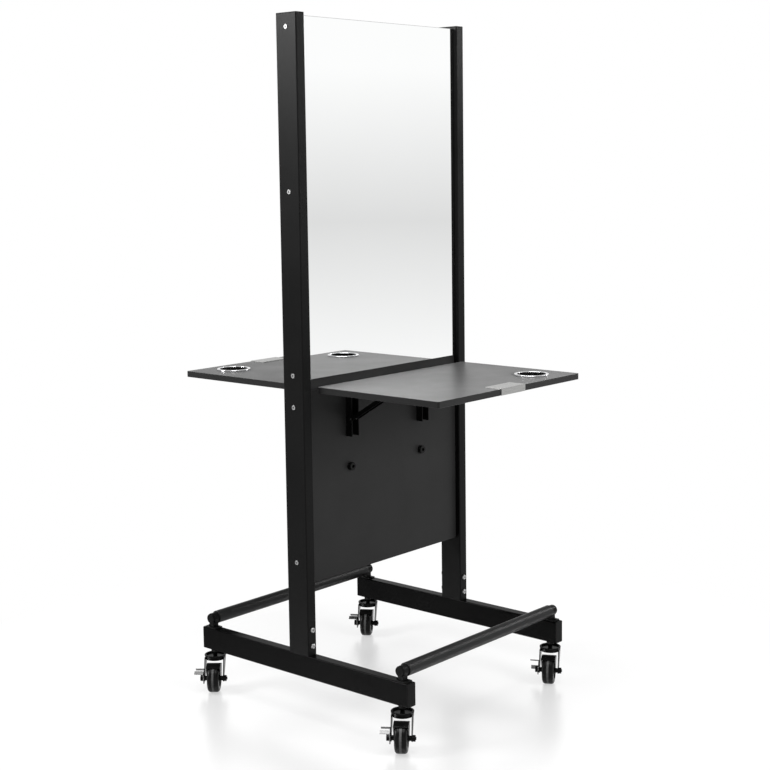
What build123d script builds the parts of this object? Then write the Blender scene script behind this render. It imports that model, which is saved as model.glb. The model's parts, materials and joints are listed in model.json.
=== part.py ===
from build123d import *
import math
import os

# Double sided rolling salon station, in millimetres.
# Origin on the floor, midway between the posts and midway between front and rear.
# +X is to the right seen from the front, the front faces -Y, and +Z is up.

# Welded frame of rectangular tube
overall_height = 1800.0
post_gap = 600.0
tube_width = 30.0
beam_depth = 60.0
post_depth = 70.0
tube_wall = 2.0
tube_corner_radius = 3.0
least_corner_radius = 0.5
beam_length = 736.0
cap_plate = 3.0
cap_edge_radius = 1.0
cap_plug_depth = 6.0
cap_clearance = 0.05

# Post feet: a spigot inside each post, with two bolts through both
spigot_height = 90.0
spigot_clearance = 0.3
foot_bolt_radius = 4.0
foot_bolt_head_radius = 7.0
foot_bolt_head_height = 5.0
foot_bolt_dome_radius = 3.0
foot_bolt_socket = 5.0
foot_bolt_socket_depth = 3.0
foot_bolt_low = 24.0
foot_bolt_pitch = 43.0
foot_nut_across_flats = 13.0
foot_nut_height = 6.5
bolt_end = 2.0

# Boards between the posts
mirror_top_drop = 7.0
mirror_over_tray_underside = 3.0
mirror_core_thickness = 36.0
glass_thickness = 5.0
glass_margin = 1.0
glass_over_tray = 16.0
glass_bevel = 1.0
panel_thickness = 40.0
panel_bottom = 357.0

# Screws through the posts into the board edges
post_screw_radius = 3.0
post_screw_head_radius = 6.0
post_screw_head_height = 1.8
post_screw_dome_radius = 0.9
post_screw_socket = 4.0
post_screw_socket_depth = 3.0
post_screw_grip = 40.0
mirror_screws_from_top = (28.0, 432.0)
mirror_screw_from_bottom = 41.0
panel_screw_from_top = 40.0
panel_screw_from_bottom = 57.0
screw_clearance = 0.05

# Trays
tray_depth = 395.0
tray_thickness = 16.0
tray_top = 870.0
tray_side_clearance = 5.0
tray_to_post = 14.5
tray_corner_radius = 5.0
tray_edge_radius = 0.8

# Tool ring in each tray: a plated ring over a fluted sleeve
ring_bore_radius = 38.0
ring_flange_width = 8.0
ring_flange_height = 3.5
ring_edge_radius = 1.4
ring_sleeve_wall = 3.2
ring_sleeve_depth = 22.0
ring_flutes = 16
ring_flute_radius = 1.4
ring_from_side = 98.0
ring_from_front = 84.0
ring_hole_clearance = 0.3

# Angle plate on the middle of each tray's front edge
edge_plate_width = 100.0
edge_plate_depth = 48.0
edge_plate_thickness = 2.0

# How deep the ring and the angle plate are let into the tray's top
inlay_depth = 0.5
inlay_clearance = 0.1

# Folding brackets under the trays
bracket_spacing = 287.0
bracket_metal = 2.0
leg_width = 28.0
leg_below_hinge = 120.0
leg_nose_radius = 8.0
hinge_from_panel = 12.5
hinge_below_tray = 13.0
hinge_pin_radius = 3.0
hinge_head_radius = 5.0
hinge_head_height = 1.5
arm_past_slot = 24.0
arm_flange_depth = 17.5
arm_side_clearance = 0.3
arm_web_start = 13.0
arm_screws_from_hinge = (34.0, 120.0)
arm_screw_from_end = 14.0
brace_pivot_drop = 74.0
brace_length = 152.0
brace_offset = 4.5
brace_side_gap = 1.0
brace_half_depth = 5.5
brace_pin_radius = 2.5
slide_pin_clearance = 0.5
pin_clearance = 0.05
tray_screw_radius = 2.0
tray_screw_head_radius = 3.8
tray_screw_length = 12.0

# Rubber bumper pegs on the panel, which the folded braces come to rest against
peg_radius = 11.0
peg_to_brace = 0.5
peg_below_hinge = 202.0
peg_recess_clearance = 0.6
peg_recess_depth = 7.0
peg_edge_radius = 1.5

# Pan head screws of the legs, pegs and footrest stands
pan_radius = 2.0
pan_head_radius = 4.0
pan_head_height = 2.4
pan_cross_length = 4.4
pan_cross_width = 1.1
pan_cross_depth = 1.4
pan_length = 12.0
leg_screw_below_hinge = 44.0
leg_screw_from_end = 12.0

# Footrest bars
footrest_height = 26.0
stand_from_beam_end = 7.0
pipe_radius = 11.0
pipe_wall = 1.5
sleeve_wall = 6.0
sleeve_edge_radius = 1.2
sleeve_clearance = 0.1
sleeve_end_gap = 0.5
stand_width = 18.0
stand_neck_depth = 16.0
stand_eye_wall = 3.0
stand_foot_width = 26.0
stand_foot_length = 42.0
stand_foot_thickness = 3.0
stand_screw_inset = 6.0
rest_cap_overlap = 2.0
rest_cap_thickness = 4.0
rest_cap_edge_radius = 1.3
rest_cap_plug = 12.0

# Casters
caster_inset = 30.0
wheel_radius = 37.5
wheel_width = 32.0
tyre_thickness = 10.0
tyre_edge_radius = 8.0
hub_recess = 4.0
hub_boss_radius = 10.0
hub_end_gap = 0.5
caster_trail = 29.0
fork_inner_width = 49.0
fork_metal = 2.5
fork_eye_radius = 9.0
fork_top_length = 40.0
bowl_over_wheel = 10.0
bowl_height = 12.0
bowl_rim_radius = 1.5
beam_over_bowl = 15.0
bowl_top_radius = 29.5
bowl_bottom_radius = 27.5
bowl_wall = 2.5
bowl_floor = 3.0
bearing_gap = 0.6
bearing_thickness = 4.0
stem_radius = 6.0
stem_above_nut = 6.0
stem_rivet_radius = 9.0
stem_rivet_height = 2.0
stem_nut_across_flats = 19.0
stem_nut_height = 8.0
guard_metal = 1.6
guard_side_gap = 1.5
guard_wheel_gap = 2.0
guard_length = 42.0
axle_radius = 4.0
axle_head_across_flats = 15.0
axle_head_height = 7.0
axle_spacer_radius = 6.5
running_clearance = 0.05
lever_metal = 2.5
lever_gap = 0.4
lever_hub_radius = 9.0
lever_arm_width = 9.0
lever_tab_radius = 25.0
lever_tab_angle = 36.0
lever_tab_length = 22.0
lever_tab_width = 10.0
lever_tail = 15.0
lever_throw = 60.0

# Each caster: side, end, the way its wheel trails and how far its brake lever is turned at rest
casters = {
    "front_left": (-1, -1, 215.0, 0.0),
    "front_right": (1, -1, 208.0, lever_throw),
    "rear_left": (-1, 1, 219.0, 0.0),
    "rear_right": (1, 1, 213.0, 0.0),
}

# Places that several pieces share
post_x = post_gap / 2 + tube_width / 2
bowl_bottom = 2 * wheel_radius + bowl_over_wheel
bowl_top = bowl_bottom + bowl_height
beam_underside = bowl_top + beam_over_bowl
beam_top = beam_underside + beam_depth
beam_end = beam_length / 2
post_front = post_depth / 2
mirror_top = overall_height - mirror_top_drop
glass_front = mirror_core_thickness / 2 + glass_thickness
panel_front = panel_thickness / 2
tray_width = post_gap - 2 * tray_side_clearance
tray_underside = tray_top - tray_thickness
mirror_bottom = tray_underside + mirror_over_tray_underside
glass_bottom = tray_top + glass_over_tray
tray_back = post_front + tray_to_post
tray_front = tray_back + tray_depth
ring_x = tray_width / 2 - ring_from_side
ring_y = -(tray_front - ring_from_front)
ring_sleeve_radius = ring_bore_radius + ring_sleeve_wall
ring_flange_radius = ring_bore_radius + ring_flange_width
inlay_floor = tray_top - inlay_depth
hinge_y = -(panel_front + hinge_from_panel)
hinge_z = tray_underside - hinge_below_tray
brace_y = hinge_y - brace_offset
brace_z = hinge_z - brace_pivot_drop
peg_z = hinge_z - peg_below_hinge
peg_length = hinge_from_panel + brace_offset - brace_half_depth - peg_to_brace
arm_inner = leg_width / 2 + arm_side_clearance
arm_outer = arm_inner + bracket_metal
arm_length = brace_pivot_drop + brace_length + arm_past_slot
footrest_y = -(beam_end - stand_from_beam_end - stand_foot_length / 2)
footrest_z = beam_top + footrest_height
stem_x = post_x
stem_y = beam_end - caster_inset
guard_inner = wheel_width / 2 + guard_side_gap
guard_outer = guard_inner + guard_metal
fork_inner = fork_inner_width / 2
fork_outer = fork_inner + fork_metal
lever_inner = fork_outer + lever_gap
lever_outer = lever_inner + lever_metal


def block(x_limits, y_limits, z_limits):
    """A block between two limits on each axis."""
    lengths = [high - low for low, high in (x_limits, y_limits, z_limits)]
    middles = [(high + low) / 2 for low, high in (x_limits, y_limits, z_limits)]
    return Pos(*middles) * Box(*lengths)


def rod(radius, start, end):
    """A cylinder from one point to another."""
    axis = Vector(*end) - Vector(*start)
    plane = Plane(origin=start, z_dir=axis)
    return plane.location * Cylinder(radius, axis.length, align=(Align.CENTER, Align.CENTER, Align.MIN))


def hexagon_bar(across_flats, start, end):
    """A hexagonal prism from one point to another."""
    axis = Vector(*end) - Vector(*start)
    plane = Plane(origin=start, z_dir=axis)
    outline = RegularPolygon(across_flats / math.sqrt(3), 6)
    return extrude(plane.location * outline, amount=axis.length, dir=axis)


def tube_filling(depth, clearance):
    """The outline of what fits inside the frame's tube of a depth, with a clearance."""
    inset = 2 * (tube_wall + clearance)
    radius = max(tube_corner_radius - tube_wall, least_corner_radius)
    return RectangleRounded(tube_width - inset, depth - inset, radius)


def tube_section(depth):
    """The section of the frame's tube of a depth."""
    return RectangleRounded(tube_width, depth, tube_corner_radius) - tube_filling(depth, 0.0)


def both_ends(piece):
    """A piece of the front, and the same piece of the rear, half a turn round."""
    return [piece, Rot(0, 0, 180) * piece]


def side_plate(outline, low, high):
    """A plate outlined in the YZ plane, between two places along X."""
    plane = Plane(origin=(low, 0, 0), x_dir=(0, 1, 0), z_dir=(1, 0, 0))
    return extrude(plane.location * outline, amount=high - low, dir=(1, 0, 0))


def caster_plate(outline, low, high):
    """A plate outlined about the axle in the caster's XZ plane, between two places along its Y."""
    plane = Plane(origin=(caster_trail, low, wheel_radius), x_dir=(1, 0, 0), z_dir=(0, -1, 0))
    return extrude(plane.location * outline, amount=high - low, dir=(0, 1, 0))


def joined(pieces):
    """One solid from pieces that overlap or meet."""
    whole = pieces[0]
    for piece in pieces[1:]:
        whole = whole + piece
    return whole


def cut_by(body, tools):
    """A body with every tool cut out of it."""
    for tool in tools:
        body = body - tool
    return body


# Base beams, posts and what closes and joins them
def beam(side):
    """A base beam with the holes of its caster stems and footrest screws."""
    tube_end = beam_end - cap_plate
    start = (side * post_x, -tube_end, beam_underside + beam_depth / 2)
    plane = Plane(origin=start, x_dir=(1, 0, 0), z_dir=(0, 1, 0))
    tube = extrude(plane.location * tube_section(beam_depth), amount=2 * tube_end, dir=(0, 1, 0))
    holes = []
    for end in (-1, 1):
        low = (side * stem_x, end * stem_y, beam_underside - tube_wall)
        high = (side * stem_x, end * stem_y, beam_underside + 2 * tube_wall)
        holes.append(rod(stem_radius + screw_clearance, low, high))
        holes += [
            screw_hole((x, end * y, beam_top), (0, 0, -1)) for x, y in stand_screw_places() if x * side > 0
        ]
    return cut_by(tube, holes)


def tube_end_cap(depth):
    """A plug cap for a tube of a depth, lying on the XY plane with its plug downwards."""
    plate = extrude(RectangleRounded(tube_width, depth, tube_corner_radius), amount=cap_plate)
    plate = fillet(plate.edges().group_by(Axis.Z)[-1], cap_edge_radius)
    plug = extrude(tube_filling(depth, cap_clearance), amount=-cap_plug_depth)
    return plate + plug


def tube_end_caps():
    """Caps in the four beam ends and the two post tops."""
    beam_cap = tube_end_cap(beam_depth)
    post_cap = tube_end_cap(post_depth)
    middle = beam_underside + beam_depth / 2
    caps = []
    for side in (-1, 1):
        caps.append(Pos(side * post_x, 0, overall_height - cap_plate) * post_cap)
        for end in (-1, 1):
            mouth = Pos(side * post_x, end * (beam_end - cap_plate), middle)
            caps.append(mouth * Rot(-90 * end, 0, 0) * beam_cap)
    return caps


def foot_bolt_heights():
    """Heights of the bolts in a post's foot."""
    return [beam_top + foot_bolt_low, beam_top + foot_bolt_low + foot_bolt_pitch]


def foot_bolt_holes(side):
    """Tools for the holes that a post and its spigot share."""
    reach = post_depth
    return [
        rod(foot_bolt_radius + screw_clearance, (side * post_x, -reach, z), (side * post_x, reach, z))
        for z in foot_bolt_heights()
    ]


def post_screw_heights():
    """Heights of the screws in a post's outer face."""
    heights = [mirror_top - inset for inset in mirror_screws_from_top]
    heights.append(mirror_bottom + mirror_screw_from_bottom)
    heights.append(mirror_bottom - panel_screw_from_top)
    heights.append(panel_bottom + panel_screw_from_bottom)
    return heights


def post_screw(side, z):
    """A flat head screw through a post, into the edge of a board."""
    outer = post_x + tube_width / 2
    tip = post_gap / 2 - post_screw_grip
    crown = outer + post_screw_head_height
    head = rod(post_screw_head_radius, (side * outer, 0, z), (side * crown, 0, z))
    head = fillet(head.edges().sort_by(Axis.X)[-1 if side > 0 else 0], post_screw_dome_radius)
    shank = rod(post_screw_radius, (side * tip, 0, z), (side * outer, 0, z))
    floor = crown - post_screw_socket_depth
    socket = hexagon_bar(post_screw_socket, (side * floor, 0, z), (side * crown, 0, z))
    return head + shank - socket


def post_screw_holes(side):
    """Tools for the holes of a post's screws, in the post and in the boards."""
    outer = post_x + tube_width
    tip = post_gap / 2 - post_screw_grip
    radius = post_screw_radius + screw_clearance
    return [rod(radius, (side * tip, 0, z), (side * outer, 0, z)) for z in post_screw_heights()]


def post(side):
    """A post with the holes of its bolts and screws."""
    length = overall_height - cap_plate - beam_top
    tube = Pos(side * post_x, 0, beam_top) * extrude(tube_section(post_depth), amount=length)
    return cut_by(tube, foot_bolt_holes(side) + post_screw_holes(side))


def spigot(side):
    """The tube stub on a beam that a post slides over."""
    outside = tube_filling(post_depth, spigot_clearance)
    inside = tube_filling(post_depth, spigot_clearance + tube_wall)
    stub = Pos(side * post_x, 0, beam_top) * extrude(outside - inside, amount=spigot_height)
    return cut_by(stub, foot_bolt_holes(side))


def foot_bolt(side, z):
    """A domed bolt through a post's foot, head to the front."""
    x = side * post_x
    end = post_front + foot_nut_height + bolt_end
    crown = -post_front - foot_bolt_head_height
    head = rod(foot_bolt_head_radius, (x, crown, z), (x, -post_front, z))
    head = fillet(head.edges().sort_by(Axis.Y)[0], foot_bolt_dome_radius)
    bolt = head + rod(foot_bolt_radius, (x, -post_front, z), (x, end, z))
    return bolt - hexagon_bar(foot_bolt_socket, (x, crown, z), (x, crown + foot_bolt_socket_depth, z))


def foot_nut(side, z):
    """The nut of a foot bolt, on the back of the post."""
    x = side * post_x
    nut = hexagon_bar(foot_nut_across_flats, (x, post_front, z), (x, post_front + foot_nut_height, z))
    reach = post_depth
    return nut - rod(foot_bolt_radius + screw_clearance, (x, 0, z), (x, reach, z))


# Mirror, panel and the pegs on it
def board(thickness, low, high):
    """A board that fills the gap between the posts."""
    return block((-post_gap / 2, post_gap / 2), (-thickness / 2, thickness / 2), (low, high))


def mirror_core():
    """The board that both mirror glasses are glued to."""
    core = board(mirror_core_thickness, mirror_bottom, mirror_top)
    return cut_by(core, post_screw_holes(-1) + post_screw_holes(1))


def mirror_glass():
    """The front mirror glass, with ground edges."""
    half = post_gap / 2 - glass_margin
    glass = block((-half, half), (-glass_front, -mirror_core_thickness / 2), (glass_bottom, mirror_top))
    return chamfer(glass.edges().group_by(Axis.Y)[0], glass_bevel)


def pan_screw(seat, direction):
    """A pan head screw with its head on a seat, pointing along a direction, and its cross recess."""
    way = Vector(*direction)
    start = Vector(*seat)
    crown = start - way * pan_head_height
    screw = rod(pan_head_radius, tuple(crown), tuple(start))
    screw += rod(pan_radius, tuple(start), tuple(start + way * pan_length))
    face = Plane(origin=tuple(crown), z_dir=tuple(way))
    for length, width in ((pan_cross_length, pan_cross_width), (pan_cross_width, pan_cross_length)):
        screw -= face.location * Box(length, width, 2 * pan_cross_depth)
    return screw


def bracket_places():
    """Places of a side's two brackets along X."""
    return (-bracket_spacing / 2, bracket_spacing / 2)


def leg_screw_seats():
    """Where the screws of the front legs sit."""
    seat_y = -(panel_front + bracket_metal)
    drops = (leg_screw_below_hinge, leg_below_hinge - leg_screw_from_end)
    return [(x, seat_y, hinge_z - drop) for x in bracket_places() for drop in drops]


def peg_screw_seats():
    """Where the screws of the front pegs sit, in their recesses."""
    seat_y = -(panel_front + peg_length - peg_recess_depth)
    return [(x, seat_y, peg_z) for x in bracket_places()]


def stand_screw_places():
    """Places in X and Y of the front footrest stands' screws."""
    half = stand_foot_length / 2 - stand_screw_inset
    return [(side * post_x, footrest_y + step) for side in (-1, 1) for step in (-half, half)]


def pan_screws():
    """The pan head screws of the front half."""
    into_panel = [pan_screw(seat, (0, 1, 0)) for seat in leg_screw_seats() + peg_screw_seats()]
    seat_z = beam_top + stand_foot_thickness
    return into_panel + [pan_screw((x, y, seat_z), (0, 0, -1)) for x, y in stand_screw_places()]


def screw_hole(seat, direction):
    """A tool for the hole of a pan head screw."""
    reach = Vector(*direction) * pan_length
    start = Vector(*seat)
    return rod(pan_radius + screw_clearance, tuple(start - reach), tuple(start + reach))


def lower_panel():
    """The panel under the mirror, with the holes of its screws."""
    panel = board(panel_thickness, panel_bottom, mirror_bottom)
    holes = post_screw_holes(-1) + post_screw_holes(1)
    for seat in leg_screw_seats() + peg_screw_seats():
        holes += both_ends(screw_hole(seat, (0, 1, 0)))
    return cut_by(panel, holes)


def bumper_peg(x):
    """A rubber bumper with a recess for its screw."""
    tip = -(panel_front + peg_length)
    peg = rod(peg_radius, (x, -panel_front, peg_z), (x, tip, peg_z))
    peg = fillet(peg.edges().sort_by(Axis.Y)[0], peg_edge_radius)
    seat = (x, tip + peg_recess_depth, peg_z)
    recess = rod(pan_head_radius + peg_recess_clearance, (x, tip, peg_z), seat)
    return peg - recess - screw_hole(seat, (0, 1, 0))


# Folding brackets
def wall_leg(x):
    """The channel of a bracket on the panel, open to the front, with the pins' holes."""
    nose = hinge_y - leg_nose_radius
    low = hinge_z - leg_below_hinge
    middle = ((nose - panel_front) / 2, (hinge_z + low) / 2)
    outline = Pos(*middle) * Rectangle(-panel_front - nose, hinge_z - low)
    outline += Pos(hinge_y, hinge_z) * Circle(leg_nose_radius)
    back = -panel_front - hinge_y
    outline += Pos(hinge_y + back / 2, hinge_z + leg_nose_radius / 2) * Rectangle(back, leg_nose_radius)
    channel = side_plate(outline, x - leg_width / 2, x + leg_width / 2)
    half = leg_width / 2 - bracket_metal
    beyond = 2 * leg_width
    inside = -panel_front - bracket_metal
    hollow = block((x - half, x + half), (nose - beyond, inside), (low - beyond, hinge_z + beyond))
    holes = [
        pin_hole(x, hinge_y, hinge_z, hinge_pin_radius),
        pin_hole(x, brace_y, brace_z, brace_pin_radius),
    ]
    holes += [screw_hole(seat, (0, 1, 0)) for seat in leg_screw_seats() if seat[0] == x]
    return cut_by(channel - hollow, holes)


def pin_hole(x, y, z, radius):
    """A tool for the hole of a bracket's pin."""
    reach = 2 * leg_width
    return rod(radius + pin_clearance, (x - reach, y, z), (x + reach, y, z))


def bracket_pins(x):
    """A bracket's hinge pin with its heads, and its flush brace pivot pin."""
    head_start = arm_outer + arm_side_clearance
    head_end = head_start + hinge_head_height
    hinge = rod(hinge_pin_radius, (x - head_start, hinge_y, hinge_z), (x + head_start, hinge_y, hinge_z))
    for way in (-1, 1):
        inner = (x + way * head_start, hinge_y, hinge_z)
        outer = (x + way * head_end, hinge_y, hinge_z)
        hinge += rod(hinge_head_radius, inner, outer)
    half = leg_width / 2
    pivot = rod(brace_pin_radius, (x - half, brace_y, brace_z), (x + half, brace_y, brace_z))
    return [hinge, pivot]


def arm_screw_places():
    """Places along Y of the screws in a bracket arm."""
    starts = [*arm_screws_from_hinge, arm_length - arm_screw_from_end]
    return [hinge_y - start for start in starts]


def slide_start():
    """How far from the hinge the slide pin stands when the tray is up."""
    height = brace_pivot_drop + brace_offset
    return math.sqrt(brace_length**2 - height**2) + brace_offset


def bracket_arm(x):
    """The channel under a tray, open downwards, with the slot that the slide pin runs along."""
    end = hinge_y - arm_length
    low = tray_underside - arm_flange_depth
    middle = ((hinge_y + end) / 2, (tray_underside + low) / 2)
    outline = Pos(*middle) * Rectangle(arm_length, arm_flange_depth)
    outline += Pos(hinge_y, hinge_z) * Circle(leg_nose_radius)
    channel = side_plate(outline, x - arm_outer, x + arm_outer)
    beyond = 2 * leg_width
    under_web = tray_underside - bracket_metal
    between = (x - arm_inner, x + arm_inner)
    across = (x - beyond, x + beyond)
    hollow = block(between, (end - beyond, hinge_y + beyond), (low - beyond, under_web))
    behind_web = (hinge_y - arm_web_start, hinge_y + beyond)
    above = tray_underside + beyond
    notch = block(across, behind_web, (hinge_z + leg_nose_radius, above))
    inner_web = block(between, behind_web, (low, above))
    slot_near = hinge_y - slide_start()
    slot_far = hinge_y - brace_pivot_drop - brace_length
    slot_z = hinge_z + brace_offset
    slot_half = brace_pin_radius + slide_pin_clearance / 2
    slot = block(across, (slot_far, slot_near), (slot_z - slot_half, slot_z + slot_half))
    for y in (slot_near, slot_far):
        slot += rod(slot_half, (across[0], y, slot_z), (across[1], y, slot_z))
    holes = [pin_hole(x, hinge_y, hinge_z, hinge_pin_radius)]
    holes += [tray_screw(x, y, screw_clearance) for y in arm_screw_places()]
    return cut_by(channel, [hollow, notch, inner_web, slot] + holes)


def tray_screw(x, y, clearance=0.0):
    """A countersunk screw from an arm into the tray, or with a clearance the tool for its hole."""
    seat = tray_underside - bracket_metal
    head = Pos(x, y, seat) * Cone(
        tray_screw_head_radius + clearance,
        tray_screw_radius + clearance,
        bracket_metal,
        align=(Align.CENTER, Align.CENTER, Align.MIN),
    )
    tip = tray_underside + tray_screw_length + clearance
    return head + rod(tray_screw_radius + clearance, (x, y, tray_underside), (x, y, tip))


def brace(x):
    """A brace with the hole of its pivot pin, and the slide pin fixed in its upper end."""
    length = brace_length
    bar = SlotCenterToCenter(length, 2 * brace_half_depth)
    lean = math.degrees(math.asin((brace_pivot_drop + brace_offset) / length))
    along = Pos(brace_y, brace_z) * Rot(0, 0, 180 - lean)
    half = leg_width / 2 - bracket_metal - brace_side_gap
    channel = side_plate(along * Pos(length / 2, 0) * bar, x - half, x + half)
    upper_y = brace_y - length * math.cos(math.radians(lean))
    upper_z = brace_z + length * math.sin(math.radians(lean))
    web = 2 * brace_half_depth - bracket_metal
    groove = along * Pos(length / 2, bracket_metal / 2) * Rectangle(2 * length, web)
    inner = half - bracket_metal
    hollow = side_plate(groove, x - inner, x + inner)
    pin_half = arm_inner - slide_pin_clearance
    pin = rod(brace_pin_radius, (x - pin_half, upper_y, upper_z), (x + pin_half, upper_y, upper_z))
    pivot = pin_hole(x, brace_y, brace_z, brace_pin_radius)
    upper = pin_hole(x, upper_y, upper_z, brace_pin_radius - pin_clearance)
    return [channel - hollow - pivot - upper, pin]


# Trays with their tool rings and edge plates
def tray_board():
    """The front tray board with the holes of its ring and screws."""
    outline = RectangleRounded(tray_width, tray_depth, tray_corner_radius)
    middle = -(tray_back + tray_front) / 2
    board_solid = Pos(0, middle, tray_underside) * extrude(outline, amount=tray_thickness)
    rims = board_solid.edges().group_by(Axis.Z)
    board_solid = fillet(rims[0] + rims[-1], tray_edge_radius)
    above = tray_top + tray_thickness
    holes = [
        ring_rod(ring_sleeve_radius + ring_hole_clearance, tray_underside - tray_thickness, above),
        ring_rod(ring_flange_radius + inlay_clearance, inlay_floor, above),
        edge_plate_inlay(),
    ]
    holes += [tray_screw(x, y, screw_clearance) for x in bracket_places() for y in arm_screw_places()]
    return cut_by(board_solid, holes)


def ring_rod(radius, low, high):
    """A cylinder on the tool ring's axis, between two heights."""
    return rod(radius, (ring_x, ring_y, low), (ring_x, ring_y, high))


def tool_ring():
    """The plated ring round the tray's hole, let a little into the tray."""
    top = tray_top + ring_flange_height
    flange = ring_rod(ring_flange_radius, inlay_floor, top) - ring_rod(ring_bore_radius, inlay_floor, top)
    return fillet(flange.edges().group_by(Axis.Z)[-1], ring_edge_radius)


def ring_sleeve():
    """The sleeve under the plated ring, with upright flutes round its bore."""
    low = tray_top - ring_sleeve_depth
    sleeve = ring_rod(ring_sleeve_radius, low, inlay_floor) - ring_rod(ring_bore_radius, low, inlay_floor)
    flutes = []
    for flute in range(ring_flutes):
        turn = math.radians(360.0 / ring_flutes * flute)
        x = ring_x + ring_bore_radius * math.cos(turn)
        y = ring_y + ring_bore_radius * math.sin(turn)
        flutes.append(rod(ring_flute_radius, (x, y, low), (x, y, inlay_floor)))
    return cut_by(sleeve, flutes)


def edge_plate():
    """An angle of flat metal over the middle of the tray's front edge, let a little into its top."""
    half = edge_plate_width / 2
    front = -tray_front
    top = inlay_floor + edge_plate_thickness
    over = block((-half, half), (front, front + edge_plate_depth), (inlay_floor, top))
    before = block((-half, half), (front - edge_plate_thickness, front), (tray_underside, top))
    return over + before


def edge_plate_inlay():
    """A tool for the shallow seat of the angle plate in the tray's top."""
    half = edge_plate_width / 2 + inlay_clearance
    back = edge_plate_depth - tray_front + inlay_clearance
    front = -tray_front - edge_plate_thickness
    return block((-half, half), (front, back), (inlay_floor, tray_top + tray_thickness))


# Footrest bars
def footrest_reach():
    """How far the footrest's pipe reaches to each side."""
    return post_x + stand_width / 2


def footrest_pipe():
    """The front footrest's pipe."""
    reach = footrest_reach()
    ends = ((-reach, footrest_y, footrest_z), (reach, footrest_y, footrest_z))
    return rod(pipe_radius, *ends) - rod(pipe_radius - pipe_wall, *ends)


def footrest_sleeve():
    """The grip over the front footrest's pipe, between its stands."""
    reach = post_x - stand_width / 2 - sleeve_end_gap
    ends = ((-reach, footrest_y, footrest_z), (reach, footrest_y, footrest_z))
    sleeve = rod(pipe_radius + sleeve_wall, *ends)
    ring = sleeve.edges().group_by(Axis.X)
    sleeve = fillet(ring[0] + ring[-1], sleeve_edge_radius)
    return sleeve - rod(pipe_radius + sleeve_clearance, *ends)


def footrest_stand(side):
    """A foot on the beam with an eye round the front footrest's pipe."""
    x = side * post_x
    across = (x - stand_width / 2, x + stand_width / 2)
    along = (footrest_y - stand_neck_depth / 2, footrest_y + stand_neck_depth / 2)
    outline = RectangleRounded(stand_foot_width, stand_foot_length, tube_corner_radius)
    foot = Pos(x, footrest_y, beam_top) * extrude(outline, amount=stand_foot_thickness)
    neck = block(across, along, (beam_top, footrest_z))
    ends = [(place, footrest_y, footrest_z) for place in across]
    eye = rod(pipe_radius + stand_eye_wall, *ends)
    reach = 2 * stand_width
    left = (x - reach, footrest_y, footrest_z)
    right = (x + reach, footrest_y, footrest_z)
    bore = rod(pipe_radius + sleeve_clearance, left, right)
    holes = [screw_hole((sx, sy, beam_top), (0, 0, 1)) for sx, sy in stand_screw_places()]
    return cut_by(foot + neck + eye, [bore] + holes)


def footrest_end_cap(side):
    """A round cap with a plug in the end of the front footrest's pipe."""
    start = side * footrest_reach()
    end = start + side * rest_cap_thickness
    disc = rod(pipe_radius + rest_cap_overlap, (start, footrest_y, footrest_z), (end, footrest_y, footrest_z))
    rim = disc.edges().sort_by(Axis.X)[-1 if side > 0 else 0]
    disc = fillet(rim, rest_cap_edge_radius)
    inner = start - side * rest_cap_plug
    plug_radius = pipe_radius - pipe_wall - cap_clearance
    return disc + rod(plug_radius, (inner, footrest_y, footrest_z), (start, footrest_y, footrest_z))


# Casters, each made about its own swivel axis with the wheel trailing along +X
def caster_stem():
    """The stem with its bearing disc, riveted over under the fork's bowl."""
    disc_low = bowl_bottom + bowl_floor + bearing_gap
    disc_radius = bowl_bottom_radius - bowl_wall - bearing_gap
    top = beam_underside + tube_wall + stem_nut_height + stem_above_nut
    rivet_top = bowl_bottom - bearing_gap
    return joined([
        rod(stem_radius, (0, 0, rivet_top), (0, 0, top)),
        rod(disc_radius, (0, 0, disc_low), (0, 0, disc_low + bearing_thickness)),
        rod(stem_rivet_radius, (0, 0, rivet_top - stem_rivet_height), (0, 0, rivet_top)),
    ])


def stem_nuts():
    """The nuts under and inside the beam that hold a stem."""
    hole = rod(stem_radius + screw_clearance, (0, 0, 0), (0, 0, 2 * beam_underside))
    nuts = []
    for low in (beam_underside - stem_nut_height, beam_underside + tube_wall):
        nuts.append(hexagon_bar(stem_nut_across_flats, (0, 0, low), (0, 0, low + stem_nut_height)) - hole)
    return nuts


def fork():
    """The bearing bowl and the two legs that carry the axle."""
    base = (Align.CENTER, Align.CENTER, Align.MIN)
    bowl = Pos(0, 0, bowl_bottom) * Cone(bowl_bottom_radius, bowl_top_radius, bowl_height, align=base)
    bowl = fillet(bowl.edges().group_by(Axis.Z)[-1], bowl_rim_radius)
    cup = rod(bowl_bottom_radius - bowl_wall, (0, 0, bowl_bottom + bowl_floor), (0, 0, bowl_top))
    hole = rod(stem_radius + running_clearance, (0, 0, 0), (0, 0, bowl_top))
    rise = bowl_bottom + bowl_height / 2 - wheel_radius
    back = -caster_trail - fork_top_length / 2
    front = back + fork_top_length
    eye = fork_eye_radius
    leg = Polygon((back, rise), (front, rise), (eye, 0), (-eye, 0), align=None)
    leg += Circle(fork_eye_radius)
    leg -= Circle(axle_radius + running_clearance)
    legs = caster_plate(leg, -fork_outer, -fork_inner) + caster_plate(leg, fork_inner, fork_outer)
    return bowl + legs - cup - hole


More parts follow.
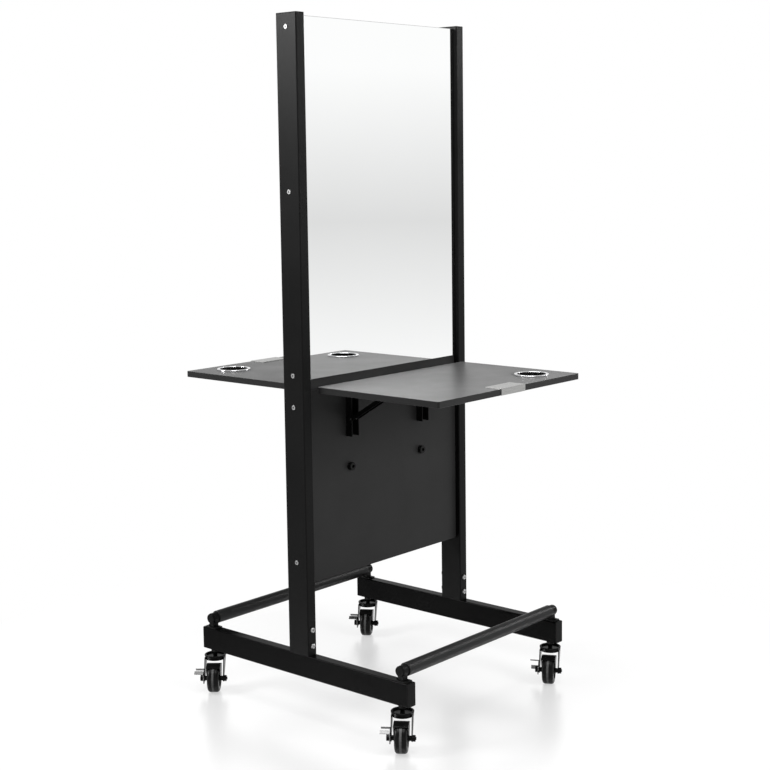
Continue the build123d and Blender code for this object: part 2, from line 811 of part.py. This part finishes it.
def wheel_guard():
    """The strap over the wheel, with a side plate down to the axle on each side."""
    inner_radius = wheel_radius + guard_wheel_gap
    outer_radius = inner_radius + guard_metal
    half = guard_length / 2
    eye = fork_eye_radius
    side = Polygon((-half, outer_radius), (half, outer_radius), (eye, 0), (-eye, 0), align=None)
    side = (side & Circle(outer_radius)) + Circle(fork_eye_radius)
    side -= Circle(axle_radius + running_clearance)
    crown = Pos(0, outer_radius / 2) * Rectangle(guard_length, outer_radius)
    strap = (Circle(outer_radius) & crown) - Circle(inner_radius)
    plates = caster_plate(side, -guard_outer, -guard_inner) + caster_plate(side, guard_inner, guard_outer)
    return plates + caster_plate(strap, -guard_outer, guard_outer)


def on_axle(radius, low, high):
    """A cylinder along a caster's axle."""
    return rod(radius, (caster_trail, low, wheel_radius), (caster_trail, high, wheel_radius))


def hexagon_on_axle(across_flats, low, high):
    """A hexagon along a caster's axle."""
    return hexagon_bar(across_flats, (caster_trail, low, wheel_radius), (caster_trail, high, wheel_radius))


def axle():
    """The axle bolt, its nut, and the spacers between guard and fork."""
    head_low = -lever_outer - lever_gap - axle_head_height
    nut_high = fork_outer + axle_head_height
    end = nut_high + bolt_end
    head = hexagon_on_axle(axle_head_across_flats, head_low, head_low + axle_head_height)
    bolt = on_axle(axle_radius, head_low, end) + head
    hole = on_axle(axle_radius + running_clearance, -end, end)
    nut = hexagon_on_axle(axle_head_across_flats, fork_outer, nut_high) - hole
    gaps = ((-fork_inner, -guard_outer), (guard_outer, fork_inner))
    spacers = [on_axle(axle_spacer_radius, low, high) - hole for low, high in gaps]
    return [bolt, nut] + spacers


def hub():
    """The wheel's core, dished on both sides, running on the axle."""
    half = wheel_width / 2
    rim = wheel_radius - tyre_thickness
    core = on_axle(rim, -half, half)
    for low, high in ((-half, hub_recess - half), (half - hub_recess, half)):
        core -= on_axle(rim - hub_recess, low, high)
    boss_half = guard_inner - hub_end_gap
    boss = on_axle(hub_boss_radius, -boss_half, boss_half)
    return core + boss - on_axle(axle_radius + running_clearance, -guard_inner, guard_inner)


def tyre():
    """The tread round the hub, with rounded shoulders."""
    half = wheel_width / 2
    tread = on_axle(wheel_radius, -half, half)
    shoulders = tread.edges().filter_by(GeomType.CIRCLE)
    return fillet(shoulders, tyre_edge_radius) - on_axle(wheel_radius - tyre_thickness, -half, half)


def brake_lever(turn):
    """The brake lever on the axle, outside the fork, with two foot tabs, turned back from upright."""
    plate = Circle(lever_hub_radius)
    tabs = []
    for lean in (-lever_tab_angle, lever_tab_angle):
        arm = Pos(0, lever_tab_radius / 2) * Rectangle(lever_arm_width, lever_tab_radius)
        plate += Rot(0, 0, lean) * arm
        tab = Pos(0, lever_tab_radius - lever_metal / 2) * Rectangle(lever_tab_width, lever_metal)
        tabs.append(Rot(0, 0, lean) * tab)
    plate += Pos(0, -lever_tail / 2) * Rectangle(lever_arm_width, lever_tail)
    plate -= Circle(axle_radius + running_clearance)
    lever = caster_plate(Rot(0, 0, turn) * plate, -lever_outer, -lever_inner)
    for tab in tabs:
        lever += caster_plate(Rot(0, 0, turn) * tab, -lever_outer - lever_tab_length, -lever_inner)
    return lever


# Writing the nodes
def write(node, pieces):
    """Write a node's pieces, each its own solid."""
    solids = []
    for piece in pieces if isinstance(pieces, list) else [pieces]:
        solids += piece.solids()
    shape = solids[0] if len(solids) == 1 else Compound(children=solids)
    export_step(shape, os.path.join("parts", node + ".step"))


def placed(caster, piece):
    """A caster's piece at its place under the beam, with its wheel trailing its own way."""
    side, end, trail_way = casters[caster][:3]
    return Pos(side * stem_x, end * stem_y, 0) * Rot(0, 0, trail_way) * piece


def front_and_rear(pieces):
    """The front's pieces and the rear's."""
    return [copy for piece in pieces for copy in both_ends(piece)]


os.makedirs("parts", exist_ok=True)
sides = (-1, 1)

write("left_base_beam", beam(-1))
write("right_base_beam", beam(1))
write("left_post", post(-1))
write("right_post", post(1))
write("post_spigots", [spigot(side) for side in sides])
write("tube_end_caps", tube_end_caps())
write("post_foot_bolts", [foot_bolt(side, z) for side in sides for z in foot_bolt_heights()])
write("mirror_core_board", mirror_core())
write("front_mirror_glass", mirror_glass())
write("rear_mirror_glass", both_ends(mirror_glass())[1])
write("lower_panel", lower_panel())
write("post_screws", [post_screw(side, z) for side in sides for z in post_screw_heights()])
write("bracket_wall_legs", front_and_rear([wall_leg(x) for x in bracket_places()]))
write("bracket_pins", front_and_rear([pin for x in bracket_places() for pin in bracket_pins(x)]))
write("bumper_pegs", front_and_rear([bumper_peg(x) for x in bracket_places()]))
write("pan_head_screws", front_and_rear(pan_screws()))
write("footrest_pipes", both_ends(footrest_pipe()))
write("footrest_sleeves", both_ends(footrest_sleeve()))
write("footrest_stands", front_and_rear([footrest_stand(side) for side in sides]))
write("footrest_end_caps", front_and_rear([footrest_end_cap(side) for side in sides]))
write("caster_stems", [placed(caster, caster_stem()) for caster in casters])
frame_nuts = [foot_nut(side, z) for side in sides for z in foot_bolt_heights()]
frame_nuts += [placed(caster, nut) for caster in casters for nut in stem_nuts()]
write("frame_nuts", frame_nuts)

tray_nodes = {
    "tray_board": [tray_board()],
    "tool_ring": [tool_ring()],
    "ring_sleeve": [ring_sleeve()],
    "edge_plate": [edge_plate()],
    "bracket_arms": [bracket_arm(x) for x in bracket_places()],
    "tray_screws": [tray_screw(x, y) for x in bracket_places() for y in arm_screw_places()],
    "braces": [piece for x in bracket_places() for piece in brace(x)],
}
for node, pieces in tray_nodes.items():
    write("front_" + node, pieces)
    write("rear_" + node, [both_ends(piece)[1] for piece in pieces])

for caster in casters:
    turn = casters[caster][3]
    write(caster + "_caster_fork", placed(caster, fork()))
    write(caster + "_wheel_guard", placed(caster, wheel_guard()))
    write(caster + "_axle", [placed(caster, piece) for piece in axle()])
    write(caster + "_wheel_hub", placed(caster, hub()))
    write(caster + "_tyre", placed(caster, tyre()))
    write(caster + "_brake_lever", placed(caster, brake_lever(turn)))
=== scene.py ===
import json
import math

import bpy
from mathutils import Matrix, Vector


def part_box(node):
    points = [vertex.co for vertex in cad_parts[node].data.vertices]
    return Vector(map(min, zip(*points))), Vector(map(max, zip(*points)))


# Double sided salon station: materials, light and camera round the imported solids, in metres.
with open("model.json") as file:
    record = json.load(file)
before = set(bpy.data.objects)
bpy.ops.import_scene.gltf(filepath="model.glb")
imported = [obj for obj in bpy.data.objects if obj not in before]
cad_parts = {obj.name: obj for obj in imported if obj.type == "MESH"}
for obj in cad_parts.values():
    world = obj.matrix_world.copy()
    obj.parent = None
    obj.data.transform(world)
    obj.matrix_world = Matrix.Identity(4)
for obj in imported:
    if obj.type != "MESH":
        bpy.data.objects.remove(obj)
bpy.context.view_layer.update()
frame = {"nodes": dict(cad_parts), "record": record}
nodes = frame["nodes"]
scene = bpy.context.scene
scene.view_settings.view_transform = "Standard"

# Camera of the photograph, for a square picture
camera_place = (-2.991, -2.6395, 1.4367)
camera_azimuth = math.radians(48.801)
camera_pitch = math.radians(-7.109)
camera_roll = math.radians(-0.769)
camera_lens = 69.915
camera_sensor = 36.0
camera_shift_y = -0.05

# Floor: a matte part that also glows, a glossy part, and a fade to white away from the station
floor_radius = 4.2
floor_sides = 96
floor_albedo = 0.27
floor_glow = 0.96
floor_gloss = 0.45
floor_gloss_roughness = 0.27
floor_shadow_reach = 0.75
floor_white_reach = 1.35

# Lamps, in watts, each facing its aim
soft_boxes = {
    "top_box": dict(place=(-0.5, -0.5, 3.3), aim=(-0.1, -0.1, 0.9), size=1.7, power=95.0),
    "left_box": dict(place=(-3.0, 2.4, 2.7), aim=(-0.3, 0.0, 1.3), size=1.3, power=200.0),
    "front_box": dict(place=(0.4, -3.6, 1.9), aim=(0.0, 0.0, 1.2), size=1.4, power=170.0, reflected=False),
    "right_box": dict(place=(2.6, -2.4, 2.9), aim=(0.0, 0.0, 1.6), size=0.9, power=14.0),
    "right_card": dict(place=(3.5, -1.5, 2.4), aim=(0.0, 0.0, 1.0), size=0.8, power=45.0, lights=False),
}

# World: white for the rays that are seen, dimmer as a light on the object
seen_rays = ("Is Camera Ray", "Is Glossy Ray", "Is Transmission Ray")
world_diffuse_strength = 0.25
white = (1.0, 1.0, 1.0, 1.0)

# Shade of the surround that reflections see, by the sine of its height above the horizon
surround_lowest = -0.2
surround_highest = 1.0
surround_shades = {-0.15: 1.0, -0.04: 0.74, 0.06: 1.0, 0.3: 1.0, 0.5: 0.35}

# Colour sockets of a Mix node, whose names are shared with its number sockets
mix_first_color = 6
mix_second_color = 7
mix_result_color = 2

# How each caster stands: the way its wheel trails, in degrees
caster_trail_ways = {"front_left": 215.0, "front_right": 208.0, "rear_left": 219.0, "rear_right": 213.0}

# Tread of the tyres, with a painted highlight: a paler band round the middle
tread_highlight_band_half_width = 0.0022
tread_highlight_band_soft_edge = 0.0014
tread_shade = 0.003
tread_painted_highlight_shade = 0.085
tread_noise_scale = 260.0
tread_highlight_least = 0.7
tread_roughness = (0.26, 0.4)


# Shader nodes
def shader_of(material):
    """A material's Principled shader."""
    return material.node_tree.nodes["Principled BSDF"]


def new_material(name, color, roughness, metallic=0.0, specular=0.5, sheen=0.0):
    """A Principled material with its plain values set on the shader."""
    material = bpy.data.materials.new(name)
    material.use_nodes = True
    shader = shader_of(material)
    shader.inputs["Base Color"].default_value = (*color, 1.0)
    shader.inputs["Roughness"].default_value = roughness
    shader.inputs["Metallic"].default_value = metallic
    shader.inputs["Specular IOR Level"].default_value = specular
    shader.inputs["Sheen Weight"].default_value = sheen
    return material


def feed(tree, value, socket):
    """Give a socket a plain number, or link another node's output to it."""
    if isinstance(value, float):
        socket.default_value = value
    else:
        tree.links.new(value, socket)


def math_node(tree, operation, *values, clamp=False):
    """The result of an operation on numbers and other nodes' outputs."""
    node = tree.nodes.new("ShaderNodeMath")
    node.operation = operation
    node.use_clamp = clamp
    for value, socket in zip(values, node.inputs):
        feed(tree, value, socket)
    return node.outputs["Value"]


def mix_shaders(tree, share, first, second):
    """Two shaders mixed, with a share of the second."""
    node = tree.nodes.new("ShaderNodeMixShader")
    feed(tree, share, node.inputs["Fac"])
    tree.links.new(first, node.inputs[1])
    tree.links.new(second, node.inputs[2])
    return node.outputs["Shader"]


def noise(material, scale, stretch=(1.0, 1.0, 1.0), detail=3.0):
    """A noise in the piece's own coordinates, stretched along its axes."""
    tree = material.node_tree
    place = tree.nodes.new("ShaderNodeTexCoord")
    mapping = tree.nodes.new("ShaderNodeMapping")
    mapping.inputs["Scale"].default_value = stretch
    texture = tree.nodes.new("ShaderNodeTexNoise")
    texture.inputs["Scale"].default_value = scale
    texture.inputs["Detail"].default_value = detail
    tree.links.new(place.outputs["Object"], mapping.inputs["Vector"])
    tree.links.new(mapping.outputs["Vector"], texture.inputs["Vector"])
    return texture.outputs["Fac"]


def ramp(material, value, low, high, start=0.3, end=0.7):
    """A value mapped between two colours."""
    node = material.node_tree.nodes.new("ShaderNodeValToRGB")
    node.color_ramp.elements[0].position = start
    node.color_ramp.elements[1].position = end
    node.color_ramp.elements[0].color = (*low, 1.0)
    node.color_ramp.elements[1].color = (*high, 1.0)
    material.node_tree.links.new(value, node.inputs["Fac"])
    return node.outputs["Color"]


def spread(material, value, low, high, start=0.3, end=0.7):
    """A value mapped between two numbers."""
    node = material.node_tree.nodes.new("ShaderNodeMapRange")
    node.inputs["From Min"].default_value = start
    node.inputs["From Max"].default_value = end
    node.inputs["To Min"].default_value = low
    node.inputs["To Max"].default_value = high
    material.node_tree.links.new(value, node.inputs["Value"])
    return node.outputs["Result"]


def vary(material, value, colors, roughness):
    """Let a noise move a material's colour and roughness between two ends each."""
    tree = material.node_tree
    shader = shader_of(material)
    tree.links.new(ramp(material, value, *colors), shader.inputs["Base Color"])
    tree.links.new(spread(material, value, *roughness), shader.inputs["Roughness"])


def emboss(material, value, depth, strength):
    """Let a value stand up from the surface by a depth in metres."""
    tree = material.node_tree
    bump = tree.nodes.new("ShaderNodeBump")
    bump.inputs["Strength"].default_value = strength
    bump.inputs["Distance"].default_value = depth
    tree.links.new(value, bump.inputs["Height"])
    tree.links.new(bump.outputs["Normal"], shader_of(material).inputs["Normal"])


# Materials
def grey(shade):
    """A grey as a colour."""
    return (shade, shade, shade)


def greys(dark, light):
    """A darker and a lighter grey."""
    return grey(dark), grey(light)


def around(middle, reach):
    """The two ends of a range round its middle."""
    return middle - reach, middle + reach


def powder_coat(name, colors, roughness, specular):
    """Matte black powder coat: a fine pebble, and broad patches a little duller or brighter."""
    material = new_material(name, colors[1], roughness, specular=specular)
    vary(material, noise(material, scale=5.0), colors, around(roughness, 0.05))
    emboss(material, noise(material, scale=900.0, detail=2.0), depth=0.00012, strength=0.35)
    return material


def laminate(name, colors, roughness, specular, sheen):
    """Matte black laminate of the boards, with a fine leathery pebble and a soft sheen."""
    material = new_material(name, colors[1], roughness, specular=specular, sheen=sheen)
    vary(material, noise(material, scale=9.0), colors, around(roughness, 0.03))
    emboss(material, noise(material, scale=1400.0, detail=2.0), depth=0.00008, strength=0.4)
    return material


def silvered_glass():
    """Mirror glass, with a trace of haze that varies over it."""
    material = new_material("silvered_glass", (0.975, 0.982, 0.979), roughness=0.0, metallic=1.0)
    tints = ((0.97, 0.977, 0.974), (0.98, 0.987, 0.984))
    vary(material, noise(material, scale=3.0), colors=tints, roughness=(0.0, 0.012))
    return material


def plated(name, colors, roughness, scale):
    """Plated metal, with small patches of duller plating."""
    material = new_material(name, colors[1], roughness, metallic=1.0)
    vary(material, noise(material, scale), colors, (roughness - 0.06, roughness + 0.1))
    return material


def brushed_steel():
    """Brushed plate, with fine lines along its length."""
    material = new_material("brushed_plate", (0.38, 0.38, 0.375), roughness=0.3, metallic=1.0)
    lines = noise(material, scale=60.0, stretch=(0.35, 30.0, 30.0), detail=4.0)
    vary(material, lines, colors=((0.32, 0.32, 0.315), (0.45, 0.45, 0.44)), roughness=(0.25, 0.38))
    emboss(material, lines, depth=0.00005, strength=0.5)
    return material


def gloss_paint():
    """Gloss black enamel of the casters, with a slight orange peel."""
    material = new_material("gloss_black", (0.003, 0.003, 0.0032), roughness=0.2, specular=0.06)
    vary(material, noise(material, scale=40.0), colors=greys(0.0022, 0.0042), roughness=(0.16, 0.26))
    emboss(material, noise(material, scale=350.0, detail=1.0), depth=0.00006, strength=0.25)
    return material


def moulded(name, colors, roughness, pebble, specular=0.25, relief=0.4):
    """Moulded plastic or rubber, with a spark-eroded pebble."""
    material = new_material(name, colors[1], roughness, specular=specular)
    vary(material, noise(material, scale=60.0), colors, around(roughness, 0.06))
    emboss(material, noise(material, pebble, detail=2.0), depth=0.00006, strength=relief)
    return material


def tread(caster):
    """A wheel's tread, with a painted highlight: a paler band round its middle that a noise breaks up."""
    low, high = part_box(caster + "_tyre")
    way = math.radians(caster_trail_ways[caster])
    material = new_material(caster + "_tread", grey(0.004), roughness=0.36, specular=0.1)
    tree = material.node_tree
    place = tree.nodes.new("ShaderNodeTexCoord")
    from_axle = tree.nodes.new("ShaderNodeVectorMath")
    from_axle.operation = "SUBTRACT"
    from_axle.inputs[1].default_value = (low + high) / 2
    across = tree.nodes.new("ShaderNodeVectorMath")
    across.operation = "DOT_PRODUCT"
    across.inputs[1].default_value = (-math.sin(way), math.cos(way), 0.0)
    tree.links.new(place.outputs["Object"], from_axle.inputs[0])
    tree.links.new(from_axle.outputs["Vector"], across.inputs[0])
    distance = math_node(tree, "ABSOLUTE", across.outputs["Value"])
    inner = tread_highlight_band_half_width
    outer = tread_highlight_band_half_width + tread_highlight_band_soft_edge
    # Painted highlight: a paler band round the middle of the tread, broken up by the same noise that
    # varies the roughness
    painted_highlight_band = spread(material, distance, 1.0, 0.0, start=inner, end=outer)
    tread_noise = noise(material, tread_noise_scale, detail=4.0)
    broken_painted_highlight = math_node(tree, "MULTIPLY", painted_highlight_band, spread(material, tread_noise, tread_highlight_least, 1.0))
    color = ramp(material, broken_painted_highlight, *greys(tread_shade, tread_painted_highlight_shade), start=0.0, end=1.0)
    tree.links.new(color, shader_of(material).inputs["Base Color"])
    tree.links.new(spread(material, tread_noise, *tread_roughness), shader_of(material).inputs["Roughness"])
    return material


# The beams' coat is a darker copy of the posts' powder coat: painted shade, with a smoother finish
beam_shaded_coat = powder_coat("beam_shaded_powder_coat", greys(0.001, 0.0018), roughness=0.22, specular=0.03)
# The trays' laminate is a darker copy of the panel's: painted shade, with a smoother finish and a sheen
tray_shaded_laminate = laminate("tray_shaded_laminate", greys(0.004, 0.006), roughness=0.34, specular=0.14, sheen=0.09)
lever_zinc = plated("lever_zinc", greys(0.1, 0.18), roughness=0.36, scale=200.0)
screw_zinc = plated("dull_zinc", greys(0.2, 0.3), roughness=0.45, scale=300.0)
chrome_tints = ((0.6, 0.6, 0.61), (0.68, 0.68, 0.69))
black_tints = greys(0.003, 0.005)
slot_materials = {
    "black_steel": powder_coat("black_powder_coat", greys(0.0035, 0.005), roughness=0.36, specular=0.058),
    "black_board": laminate(
        "black_laminate", greys(0.0105, 0.0135), roughness=0.45, specular=0.13, sheen=0.0,
    ),
    "black_plastic": moulded("black_plastic", black_tints, roughness=0.42, pebble=700.0, specular=0.05),
    "sleeve_plastic": moulded("sleeve_plastic", black_tints, roughness=0.2, pebble=500.0, specular=0.3),
    "black_rubber": moulded("black_rubber", black_tints, roughness=0.5, pebble=500.0, specular=0.1),
    "footrest_grip": moulded(
        "footrest_grip", greys(0.005, 0.007), roughness=0.46, pebble=900.0, specular=0.19, relief=0.02,
    ),
    "mirror_glass": silvered_glass(),
    "zinc": plated("zinc_plate", greys(0.32, 0.46), roughness=0.28, scale=300.0),
    "black_fastener": plated("black_oxide", greys(0.01, 0.018), roughness=0.35, scale=300.0),
    "chrome": plated("polished_chrome", chrome_tints, roughness=0.09, scale=120.0),
    "brushed_plate": brushed_steel(),
    "caster_steel": gloss_paint(),
    "wheel_hub": moulded("wheel_core", greys(0.004, 0.006), roughness=0.3, pebble=400.0),
}

# Nodes whose finish differs from the rest of their slot; the beams' and trays' are also painted darker,
# which is painted shade
node_materials = {"post_screws": screw_zinc}
for end in ("front", "rear"):
    node_materials[end + "_tray_board"] = tray_shaded_laminate
for side in ("left", "right"):
    node_materials[side + "_base_beam"] = beam_shaded_coat
for caster in caster_trail_ways:
    node_materials[caster + "_tyre"] = tread(caster)
    node_materials[caster + "_brake_lever"] = lever_zinc
for subpart in frame["record"]["subparts"]:
    node = subpart["node"]
    mesh = nodes[node].data
    mesh.materials.clear()
    mesh.materials.append(node_materials.get(node) or slot_materials[subpart["material_slot"]])


# Floor, world and lamps
def any_of_rays(tree, names):
    """Whether a ray is of any of the named kinds, as 0 or 1."""
    path = tree.nodes.new("ShaderNodeLightPath")
    total = path.outputs[names[0]]
    for name in names[1:]:
        total = math_node(tree, "ADD", total, path.outputs[name], clamp=True)
    return total


def add_floor():
    """A round white floor that keeps the station's shadow and fades to plain white away from it."""
    bpy.ops.mesh.primitive_circle_add(vertices=floor_sides, radius=floor_radius, fill_type="NGON")
    floor = bpy.context.object
    floor.name = "floor"
    material = bpy.data.materials.new("white_floor")
    material.use_nodes = True
    tree = material.node_tree
    tree.nodes.remove(shader_of(material))
    seen = any_of_rays(tree, seen_rays)
    matte = tree.nodes.new("ShaderNodeBsdfDiffuse")
    matte.inputs["Color"].default_value = (*grey(floor_albedo), 1.0)
    glow = tree.nodes.new("ShaderNodeEmission")
    tree.links.new(math_node(tree, "MULTIPLY", seen, floor_glow), glow.inputs["Strength"])
    lit = tree.nodes.new("ShaderNodeAddShader")
    tree.links.new(matte.outputs["BSDF"], lit.inputs[0])
    tree.links.new(glow.outputs["Emission"], lit.inputs[1])
    gloss = tree.nodes.new("ShaderNodeBsdfGlossy")
    gloss.inputs["Roughness"].default_value = floor_gloss_roughness
    near = mix_shaders(tree, floor_gloss, lit.outputs["Shader"], gloss.outputs["BSDF"])
    place = tree.nodes.new("ShaderNodeTexCoord")
    distance = tree.nodes.new("ShaderNodeVectorMath")
    distance.operation = "LENGTH"
    tree.links.new(place.outputs["Object"], distance.inputs[0])
    away = spread(material, distance.outputs["Value"], 0.0, 1.0, floor_shadow_reach, floor_white_reach)
    seen_away = math_node(tree, "MULTIPLY", away, seen)
    plain = tree.nodes.new("ShaderNodeEmission")
    surface = mix_shaders(tree, seen_away, near, plain.outputs["Emission"])
    tree.links.new(surface, tree.nodes["Material Output"].inputs["Surface"])
    floor.data.materials.append(material)


def add_world():
    """A white surround, with the greyer heights that only reflections see."""
    world = bpy.data.worlds.new("studio")
    scene.world = world
    world.use_nodes = True
    tree = world.node_tree
    background = tree.nodes["Background"]
    place = tree.nodes.new("ShaderNodeTexCoord")
    split = tree.nodes.new("ShaderNodeSeparateXYZ")
    tree.links.new(place.outputs["Generated"], split.inputs["Vector"])
    heights = tree.nodes.new("ShaderNodeMapRange")
    heights.inputs["From Min"].default_value = surround_lowest
    heights.inputs["From Max"].default_value = surround_highest
    tree.links.new(split.outputs["Z"], heights.inputs["Value"])
    shades = tree.nodes.new("ShaderNodeValToRGB")
    stops = shades.color_ramp.elements
    stops.remove(stops[1])
    for height, shade in surround_shades.items():
        stop = stops.new((height - surround_lowest) / (surround_highest - surround_lowest))
        stop.color = (*grey(shade), 1.0)
    stops[0].color = white
    tree.links.new(heights.outputs["Result"], shades.inputs["Fac"])
    color = tree.nodes.new("ShaderNodeMix")
    color.data_type = "RGBA"
    tree.links.new(any_of_rays(tree, ("Is Camera Ray",)), color.inputs["Factor"])
    tree.links.new(shades.outputs["Color"], color.inputs[mix_first_color])
    color.inputs[mix_second_color].default_value = white
    tree.links.new(color.outputs[mix_result_color], background.inputs["Color"])
    strength = tree.nodes.new("ShaderNodeMapRange")
    strength.inputs["To Min"].default_value = world_diffuse_strength
    strength.inputs["To Max"].default_value = 1.0
    tree.links.new(any_of_rays(tree, seen_rays), strength.inputs["Value"])
    tree.links.new(strength.outputs["Result"], background.inputs["Strength"])


def add_soft_box(name, place, aim, size, power, reflected=True, lights=True):
    """A square soft box that faces its aim, and may be kept out of the reflections or only be in them."""
    lamp = bpy.data.lights.new(name, "AREA")
    lamp.size = size
    lamp.energy = power
    box = bpy.data.objects.new(name, lamp)
    scene.collection.objects.link(box)
    box.location = place
    box.visible_glossy = reflected
    box.visible_diffuse = lights
    facing = Vector(aim) - Vector(place)
    box.rotation_euler = facing.to_track_quat("-Z", "Y").to_euler()


add_floor()
add_world()
for name, settings in soft_boxes.items():
    add_soft_box(name, **settings)


# Camera
def add_camera():
    """The photograph's camera, from its azimuth, pitch and roll."""
    forward = Vector((
        math.cos(camera_pitch) * math.sin(camera_azimuth),
        math.cos(camera_pitch) * math.cos(camera_azimuth),
        math.sin(camera_pitch),
    ))
    level = Vector((math.cos(camera_azimuth), -math.sin(camera_azimuth), 0.0))
    upright = level.cross(forward)
    right = level * math.cos(camera_roll) + upright * math.sin(camera_roll)
    up = right.cross(forward)
    lens = bpy.data.cameras.new("camera")
    lens.sensor_width = camera_sensor
    lens.lens = camera_lens
    lens.shift_y = camera_shift_y
    camera = bpy.data.objects.new("camera", lens)
    turn = Matrix((right, up, -forward)).transposed()
    camera.matrix_world = Matrix.Translation(camera_place) @ turn.to_4x4()
    scene.collection.objects.link(camera)
    scene.camera = camera


add_camera()
